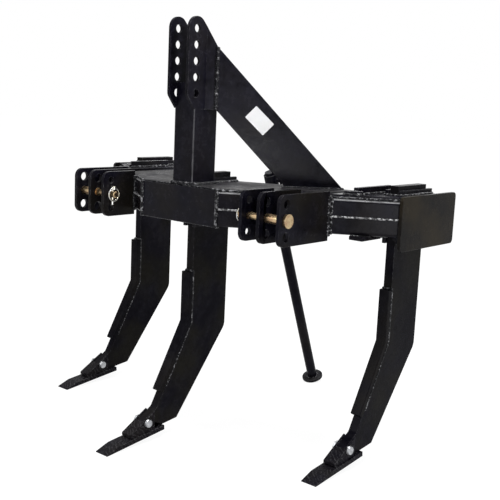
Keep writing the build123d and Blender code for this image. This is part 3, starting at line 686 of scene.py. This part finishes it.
def frameBeads():
    beads = []
    weld = frameWelds
    frontX = frontBox["high"].x
    frontY = frontBox["low"].y
    armEnd = armBox["high"].x
    face = armFace(armEnd)
    topZ = armBox["high"].z
    bottomZ = lowerArmBox["low"].z
    wingZ = wingTopBox["high"].z
    edge = weld["plate"] / sweepCos
    kneeX = frontX + (weld["frontPlate"] - edge) / sweepTan
    edgeZ = topZ + weld["raise"]
    for s in sides:
        layUpright(beads, s, frontX, frontY, bottomZ, topZ, weld["frontEnds"])
        layAlongArm(beads, s, kneeX, topPlateBox["high"].x, edge, edgeZ, weld["topSides"])
        layUpright(beads, s, armEnd, face + weld["seat"], bottomZ, topZ, weld["endPlates"])
        layAlongArm(beads, s, weld["wingStart"], armEnd, edge, edgeZ, weld["wingFront"])
        wingRear = (armEnd, wingTopBox["high"].y, wingZ)
        laySide(beads, s, (armEnd, face + edge, wingZ), wingRear, weld["wingEnds"])
        layAlongArm(beads, s, weld["floorStart"], weld["floorEnd"], weld["seat"], bottomZ, weld["wingFloor"])
        layAlongArm(beads, s, weld["underStart"], frontX, armDepthY, bottomZ, weld["underArms"])
    # Along the front plate, above and below
    innerY = frontBox["high"].y
    plateZ = topPlateBox["high"].z - weld["seat"]
    layBead(beads, (-frontX, innerY, plateZ), (frontX, innerY, plateZ), weld["topFront"])
    footZ = frontBox["low"].z + weld["footRaise"]
    footY = innerY - weld["seat"]
    layBead(beads, (-frontX, footY, footZ), (frontX, footY, footZ), weld["frontFoot"])
    # Round the ends of the rear tube
    tubeX = tubeBox["high"].x
    low, high = tubeBox["low"], tubeBox["high"]
    corner = weld["tubeCorner"]
    for s in sides:
        for y in (low.y, high.y):
            layUpright(beads, s, tubeX, y, low.z + corner, high.z - corner, weld["rearTube"])
        for z in (low.z, high.z):
            laySide(beads, s, (tubeX, low.y + corner, z), (tubeX, high.y - corner, z), weld["rearTube"])
    joinBeads(beads, "weld_beads_frame", machine, 3)


# On the wing plates, round the ribs, fins and collars of the side shanks, and beside the centre shank
topWelds = {
    "ribs": 0.0070,
    "fins": 0.0065,
    "collarSides": 0.0065,
    "collarEnds": 0.0070,
    "centreCollar": 0.0075,
    "raise": 0.001,
    "ribFront": 0.013,
    "ribRear": 0.025,
    "ribX": (0.491, 0.533),
    "finX": (0.508, 0.520),
    "finEnd": 0.465,
    "collarX": (0.557, 0.611),
    "collarFront": 0.372,
    "collarInset": 0.002,
    "centreX": 0.027,
    "centreStart": 0.008,
    "centreEnd": 0.2715,
}


def topBeads():
    beads = []
    weld = topWelds
    wingZ = wingTopBox["high"].z + weld["raise"]
    plateZ = topPlateBox["high"].z + weld["raise"]
    front = weld["ribFront"] / sweepCos
    rear = weld["ribRear"] / sweepCos
    collarRear = boxOf("shank_pocket_right")["high"].y - weld["collarInset"]
    collarFront = pinY + weld["collarFront"]
    innerX, outerX = weld["collarX"]
    for s in sides:
        for back in (front, rear):
            layAlongArm(beads, s, *weld["ribX"], back, wingZ, weld["ribs"])
        for x in weld["finX"]:
            finEnd = (x, pinY + weld["finEnd"], wingZ)
            laySide(beads, s, (x, armFace(x) + rear, wingZ), finEnd, weld["fins"])
        for x in weld["collarX"]:
            laySide(beads, s, (x, collarFront, wingZ), (x, collarRear, wingZ), weld["collarSides"])
        collarEnd = (outerX, collarFront, wingZ)
        laySide(beads, s, (innerX, collarFront, wingZ), collarEnd, weld["collarEnds"])
        x = weld["centreX"]
        centreStart = (x, postBox["high"].y + weld["centreStart"], plateZ)
        centreEnd = (x, pinY + weld["centreEnd"], plateZ)
        laySide(beads, s, centreStart, centreEnd, weld["centreCollar"])
    joinBeads(beads, "weld_beads_top", machine, 15)


mastWelds = {
    "postSides": 0.0110,
    "postFront": 0.0110,
    "postRear": 0.0055,
    "joint": 0.0080,
    "jointBack": 0.0060,
    "braceFeet": 0.0050,
    "raise": 0.001,
    "inset": 0.006,
    "rearStart": 0.018,
    "braceEdge": 0.0071,
    "jointEnds": 0.004,
    "braceThick": 0.010,
    "braceFoot": 0.200,
}


def mastBeads():
    beads = []
    weld = mastWelds
    low, high = postBox["low"], postBox["high"]
    z = low.z + weld["raise"]
    inset = weld["inset"]
    jointX = braceBox["low"].x + weld["braceEdge"]
    jointY = braceBox["low"].y
    jointLow = linkBox["low"].z + weld["jointEnds"]
    jointHigh = braceBox["high"].z - weld["jointEnds"]
    backX = jointX - weld["braceEdge"]
    backY = jointY + weld["braceEdge"]
    turn = math.sqrt(0.5)   # the braces stand at 45 degrees
    for s in sides:
        laySide(beads, s, (high.x, low.y + inset, z), (high.x, high.y - inset, z), weld["postSides"])
        laySide(beads, s, (inset / 2, low.y, z), (high.x - inset, low.y, z), weld["postFront"])
        laySide(beads, s, (weld["rearStart"], high.y, z), (high.x - inset, high.y, z), weld["postRear"])
        layUpright(beads, s, jointX, jointY, jointLow, jointHigh, weld["joint"])
        layUpright(beads, s, backX, backY, jointLow, jointHigh, weld["jointBack"])
        heel = Vector((s * braceBox["high"].x, braceBox["high"].y - weld["braceEdge"], z))
        run = Vector((-s * turn, -turn, 0)) * weld["braceFoot"]
        across = Vector((-s * turn, turn, 0)) * weld["braceThick"]
        layBead(beads, heel, heel + run, weld["braceFeet"])
        layBead(beads, heel + across, heel + across + run, weld["braceFeet"])
    # The mast beads carry the weaker painted glints
    joinBeads(beads, "weld_beads_mast", machine, 5, "weldDullGlints")


hitchWelds = {
    "main": 0.0085,
    "second": 0.0048,
    "apart": 0.007,
    "below": 0.002,
    "above": 0.001,
    "secondLow": 0.004,
    "secondHigh": 0.006,
}


def hitchBeads():
    beads = []
    weld = hitchWelds
    low = lowerArmBox["low"].z - weld["below"]
    high = armBox["high"].z + weld["above"]
    secondLow = low + weld["secondLow"]
    secondHigh = high - weld["secondHigh"]
    for where in ("inner", "middle", "outer"):
        box = boxOf(f"hitch_plate_{where}_right")
        for s in sides:
            for x, away in ((box["low"].x, -1), (box["high"].x, 1)):
                layUpright(beads, s, x, armFace(x), low, high, weld["main"])
                x += away * weld["apart"]
                layUpright(beads, s, x, armFace(x), secondLow, secondHigh, weld["second"])
    joinBeads(beads, "weld_beads_hitch", machine, 7)


shankWelds = {
    "along": 0.0040,
    "across": 0.0055,
    "half": 0.015,
    "out": 0.0015,
    "proud": 0.001,
    "crown": 0.002,
    "front": 0.0835,
    "sideBack": 0.2985,
    "rake": math.radians(29),
    "bendBelow": 0.402,
    "shinTop": 0.230,
    "shinEnd": 0.601,
}


def shankBeads():
    beads = []
    weld = shankWelds
    half = weld["half"]
    topZ = pinZ - weld["shinTop"]
    bendZ = pinZ - weld["bendBelow"]
    lowZ = pinZ - weld["shinEnd"]
    for place in ("center", "left", "right"):
        x = boxOf(f"shank_{place}")["middle"].x
        back = 0 if place == "center" else weld["sideBack"]
        y = pinY + weld["front"] + back + weld["proud"]
        lowY = y - (bendZ - lowZ) * math.tan(weld["rake"])
        for s in sides:
            side = x + s * (half + weld["out"])
            layBead(beads, (side, y, topZ), (side, y, bendZ), weld["along"])
            layBead(beads, (side, y, bendZ), (side, lowY, lowZ), weld["along"])
        crownY = y - weld["crown"]
        crownZ = topZ + weld["crown"]
        layBead(beads, (x - half, crownY, crownZ), (x + half, crownY, crownZ), weld["across"])
    joinBeads(beads, "weld_beads_shanks", machine, 9)


standWelds = {
    "tilt": math.radians(21.9),
    "behind": 0.516,
    "sleeveRing": 0.0250,
    "sleeve": 0.0045,
    "footRing": 0.0195,
    "foot": 0.0035,
    "footHalf": 0.041,
    "footThick": 0.008,
}


def standBeads():
    beads = []
    tilt = standWelds["tilt"]
    axisY = pinY + standWelds["behind"]
    for z in (tubeBox["high"].z, tubeBox["low"].z):
        centre = (0, axisY - (z - pinZ) * math.tan(tilt), z)
        layRing(beads, centre, standWelds["sleeveRing"], standWelds["sleeve"], 1 / math.cos(tilt))
    joinBeads(beads, "weld_beads_stand", machine, 11)


# Round the leg on its foot, whose lowest edge is on the floor; this bead moves with the stand
def footBead():
    beads = []
    tilt = standWelds["tilt"]
    half = standWelds["footHalf"]
    thick = standWelds["footThick"]
    y = legBox["high"].y - half * math.cos(tilt) - thick * math.sin(tilt)
    z = half * math.sin(tilt) + thick * math.cos(tilt)
    layRing(beads, (0, y, z), standWelds["footRing"], standWelds["foot"], 1.0, tilt)
    joinBeads(beads, "weld_bead_foot", stand, 13)


seamBeads()
frameBeads()
mastBeads()
hitchBeads()
topBeads()
shankBeads()
standBeads()
footBead()
print("weld beads laid")


# Side walls of the post, which go on up behind the bends of the top link plates
postWalls = {"thick": 0.003, "front": 0.0892, "rearPlate": 0.008, "sidePlate": 0.008}


def addPostWalls():
    top = postBox["high"].z
    foot = linkBox["low"].z
    front = pinY + postWalls["front"]
    rear = postBox["high"].y - postWalls["rearPlate"]
    innerX = postBox["high"].x - postWalls["sidePlate"]
    for s in sides:
        deselect()
        place = (s * (innerX + postWalls["thick"] / 2), (front + rear) / 2, (top + foot) / 2)
        bpy.ops.mesh.primitive_cube_add(size=1, location=place)
        piece = bpy.context.object
        piece.name = "post_wall_right" if s > 0 else "post_wall_left"
        piece.scale = (postWalls["thick"], rear - front, top - foot)
        bpy.ops.object.transform_apply(location=True, rotation=True, scale=True)
        piece.data.materials.append(materials["mast_paint"])
        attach(piece, machine)


addPostWalls()

# Blank sticker on the outer face of the right brace
sticker = {
    "width": 0.082,
    "height": 0.051,
    "thick": 0.0003,
    "corner": 0.003,
    "along": 0.1418,
    "above": 0.2755,
    "slope": -43.3,
    "braceEdge": 0.0071,
    "gap": 0.0001,
    "paper": (0.55, 0.55, 0.56, 1),
    "lightPaper": (0.64, 0.64, 0.65, 1),
}


def makeStickerPaper():
    material, tree, shader, vector = newMaterial("stickerPaper")
    fibre = noise(tree, (-900, 200), vector, 55, 5)
    colour = mixColour(tree, (-400, 250), fibre, sticker["paper"], sticker["lightPaper"])
    tree.links.new(colour, shader.inputs["Base Color"])
    rough = mapRange(tree, (-400, 0), noise(tree, (-900, -50), vector, 30, 4), 0.3, 0.7, 0.38, 0.55)
    tree.links.new(rough, shader.inputs["Roughness"])
    bump = addNode(tree, "ShaderNodeBump", (-250, -300))
    bump.inputs["Strength"].default_value = 0.2
    bump.inputs["Distance"].default_value = 0.0003
    tree.links.new(noise(tree, (-650, -300), vector, 45, 2), bump.inputs["Height"])
    tree.links.new(bump.outputs["Normal"], shader.inputs["Normal"])
    return material


def addSticker():
    deselect()
    bpy.ops.mesh.primitive_plane_add(size=1)
    piece = bpy.context.object
    piece.name = "blank_sticker"
    piece.scale = (sticker["width"], sticker["height"], 1)
    bpy.ops.object.transform_apply(location=False, rotation=False, scale=True)
    bpy.ops.object.mode_set(mode="EDIT")
    bpy.ops.mesh.select_all(action="SELECT")
    bpy.ops.mesh.bevel(offset=sticker["corner"], segments=5, affect="VERTICES")
    bpy.ops.mesh.select_all(action="SELECT")
    bpy.ops.mesh.extrude_region_move(TRANSFORM_OT_translate={"value": (0, 0, sticker["thick"])})
    bpy.ops.mesh.select_all(action="SELECT")
    bpy.ops.mesh.normals_make_consistent(inside=False)
    bpy.ops.object.mode_set(mode="OBJECT")
    turn = math.sqrt(0.5)
    along = Vector((turn, turn, 0))
    outward = Vector((turn, -turn, 0))
    upward = Vector((0, 0, 1))
    slope = math.radians(sticker["slope"])
    long = along * math.cos(slope) + upward * math.sin(slope)
    short = outward.cross(long)
    start = Vector((braceBox["low"].x + sticker["braceEdge"], braceBox["low"].y, 0))
    place = start + along * sticker["along"] + upward * (pinZ + sticker["above"])
    place = place + outward * sticker["gap"]
    turned = Matrix((long, short, outward)).transposed().to_4x4()
    piece.matrix_world = Matrix.Translation(place) @ turned
    bpy.ops.object.transform_apply(location=True, rotation=True, scale=True)
    piece.data.materials.append(makeStickerPaper())
    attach(piece, machine)


addSticker()
print("sticker placed")


# Floor, background and lamps
studio = {
    "floorSize": 60,
    "floorColour": (0.86, 0.86, 0.86, 1),
    "floorShare": 0.8,
    "floorLevel": 1.14,
    "worldLevel": 0.55,
}
# Where each lamp is, what it points at, its width, its watts and the width of its cone
lamps = {
    "overheadLamp": {
        "place": (0.1, -0.3, 4.2), "aim": (0, 0, 0.7), "size": 0.9, "power": 140, "spread": 180,
    },
    "frontLamp": {
        "place": (-1.8, -4.2, 2.6), "aim": (0, 0, 0.7), "size": 1.2, "power": 33, "spread": 180,
    },
    "sideLamp": {
        "place": (4.5, -0.4, 2.2), "aim": (0, 0, 0.7), "size": 1.2, "power": 20, "spread": 180,
    },
    "rearLamp": {
        "place": (0.6, 4.8, 2.4), "aim": (0, 0, 0.7), "size": 1.2, "power": 30, "spread": 180,
    },
    "mastLamp": {
        "place": (3.2, -0.5, 2.6), "aim": (0, -0.25, 1.35), "size": 0.6, "power": 3, "spread": 26,
    },
    "cornerLamp": {
        "place": (3.6, -3.15, 0.4), "aim": (0, 0, 1.0), "size": 0.6, "power": 40, "spread": 180,
    },
}


def makeFloor():
    deselect()
    bpy.ops.mesh.primitive_plane_add(size=studio["floorSize"], location=(0, 0, 0))
    floor = bpy.context.object
    floor.name = "studio_floor"
    material = bpy.data.materials.new("studioFloor")
    material.use_nodes = True
    tree = material.node_tree
    shader = next(n for n in tree.nodes if n.type == "BSDF_PRINCIPLED")
    output = next(n for n in tree.nodes if n.type == "OUTPUT_MATERIAL")
    shader.inputs["Base Color"].default_value = studio["floorColour"]
    shader.inputs["Roughness"].default_value = 0.9
    shader.inputs["Specular IOR Level"].default_value = 0.0
    white = addNode(tree, "ShaderNodeEmission", (0, -200), Strength=studio["floorLevel"])
    rays = addNode(tree, "ShaderNodeLightPath", (-400, 300))
    seen = maths(tree, (-200, 300), "MAXIMUM", rays.outputs["Is Camera Ray"], rays.outputs["Is Glossy Ray"])
    seen = maths(tree, (-100, 450), "MAXIMUM", seen, rays.outputs["Is Transmission Ray"])
    share = maths(tree, (0, 300), "MULTIPLY", seen, studio["floorShare"])
    mix = addNode(tree, "ShaderNodeMixShader", (250, 0))
    tree.links.new(share, mix.inputs[0])
    tree.links.new(shader.outputs[0], mix.inputs[1])
    tree.links.new(white.outputs[0], mix.inputs[2])
    tree.links.new(mix.outputs[0], output.inputs["Surface"])
    floor.data.materials.append(material)


def makeWorld():
    world = bpy.data.worlds.new("studioWorld")
    bpy.context.scene.world = world
    world.use_nodes = True
    tree = world.node_tree
    background = next(n for n in tree.nodes if n.type == "BACKGROUND")
    rays = addNode(tree, "ShaderNodeLightPath", (-800, 0))
    seen = maths(tree, (-600, 0), "MAXIMUM", rays.outputs["Is Camera Ray"], rays.outputs["Is Glossy Ray"])
    seen = maths(tree, (-400, 0), "MAXIMUM", seen, rays.outputs["Is Transmission Ray"])
    level = mapRange(tree, (-200, 0), seen, 0, 1, studio["worldLevel"], 1.0)
    background.inputs["Color"].default_value = (1, 1, 1, 1)
    tree.links.new(level, background.inputs["Strength"])


def addLamp(name, look):
    lamp = bpy.data.lights.new(name, "AREA")
    lamp.shape = "SQUARE"
    lamp.size = look["size"]
    lamp.energy = look["power"]
    lamp.spread = math.radians(look["spread"])
    piece = bpy.data.objects.new(name, lamp)
    bpy.context.collection.objects.link(piece)
    piece.location = look["place"]
    piece.rotation_mode = "QUATERNION"
    piece.rotation_quaternion = (Vector(look["aim"]) - Vector(look["place"])).to_track_quat("-Z", "Y")


makeFloor()
makeWorld()
for lampName, lampLook in lamps.items():
    addLamp(lampName, lampLook)
print("studio made")

# Camera, worked back from the photograph
view = {
    "azimuth": 40.196,
    "elevation": 9.660,
    "roll": 2.611,
    "distance": 2.83046,
    "aside": 0.24538,
    "above": -0.14920,
    "lens": 63.277,
}


def addCamera():
    azimuth, elevation, roll = (math.radians(view[k]) for k in ("azimuth", "elevation", "roll"))
    back = Vector((
        math.sin(azimuth) * math.cos(elevation),
        -math.cos(azimuth) * math.cos(elevation),
        math.sin(elevation),
    ))
    right = (-back).cross(Vector((0, 0, 1))).normalized()
    up = right.cross(-back)
    tiltedRight = right * math.cos(roll) + up * math.sin(roll)
    tiltedUp = up * math.cos(roll) - right * math.sin(roll)
    lens = bpy.data.cameras.new("photoCamera")
    lens.sensor_width = 36
    lens.lens = view["lens"]
    lens.clip_end = 200
    camera = bpy.data.objects.new("photoCamera", lens)
    bpy.context.collection.objects.link(camera)
    aim = Vector((0, pinY, pinZ))
    place = aim + back * view["distance"] + tiltedRight * view["aside"] + tiltedUp * view["above"]
    turned = Matrix((tiltedRight, tiltedUp, back)).transposed().to_4x4()
    camera.matrix_world = Matrix.Translation(place) @ turned
    bpy.context.scene.camera = camera


addCamera()
bpy.context.scene.view_settings.view_transform = "Standard"
